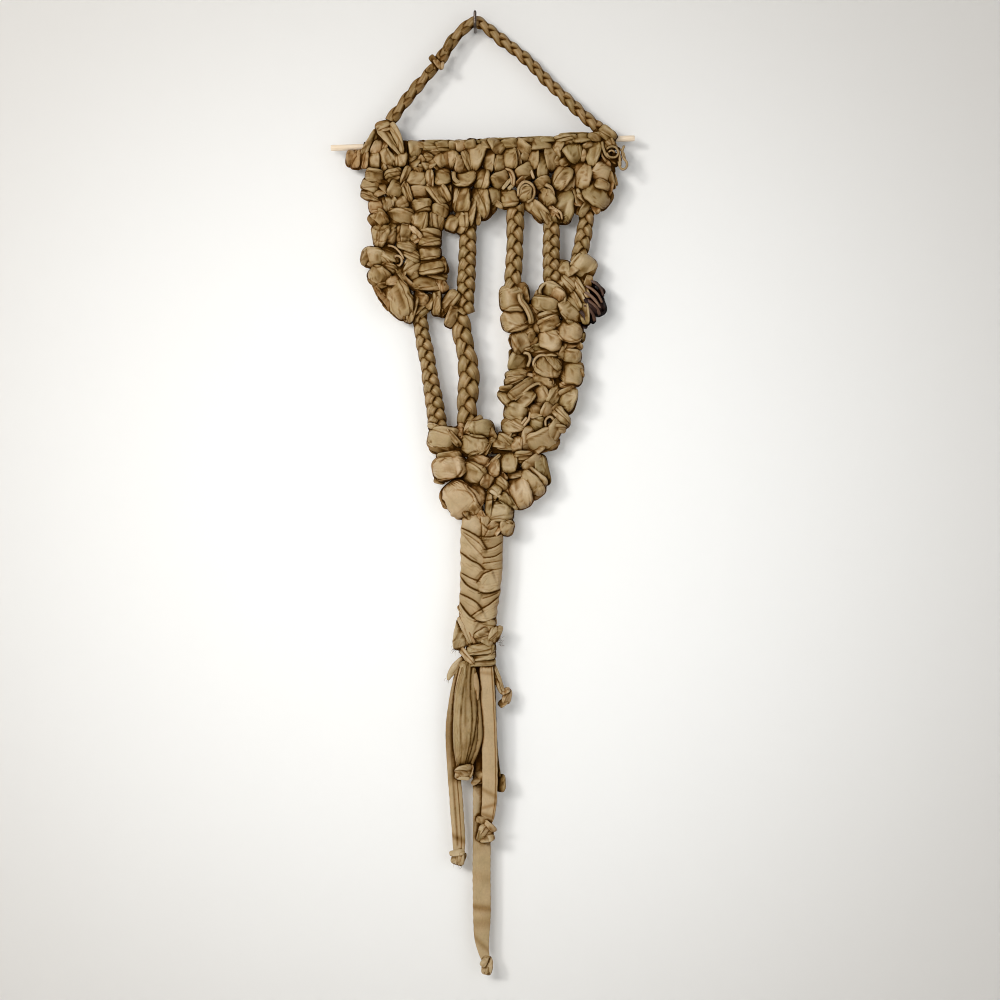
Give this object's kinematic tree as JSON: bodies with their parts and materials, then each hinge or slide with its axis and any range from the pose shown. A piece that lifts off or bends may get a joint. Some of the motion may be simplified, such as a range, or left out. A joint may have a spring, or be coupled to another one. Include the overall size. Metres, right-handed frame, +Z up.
{
  "type": "macrame wall hanging with wooden dowel and wall hook",
  "caption": "Knotted and plaited cloth-strip wall hanging on a thin wooden dowel, with a plaited hanging cord over a wall hook and knotted tails below.",
  "frame": {"origin": "centre of the wall hook's shank where it meets the wall", "axes": "+Z up, +Y into the wall, +X to the right for someone who faces the hanging"},
  "size_m": [0.305, 0.031, 0.9653],
  "materials": {
    "khaki_cloth": "smooth, slightly satin khaki cotton strips, folded and crumpled, brown in the creases",
    "pale_wood": "bare pale birch, fine straight grain",
    "dark_steel": "dark steel wire, slightly worn"
  },
  "bodies": {
    "root": {"dowel": "pale_wood", "wall_hook": "dark_steel", "hanger": "khaki_cloth", "macrame": "khaki_cloth", "tail": "khaki_cloth"}
  },
  "joints": []
}
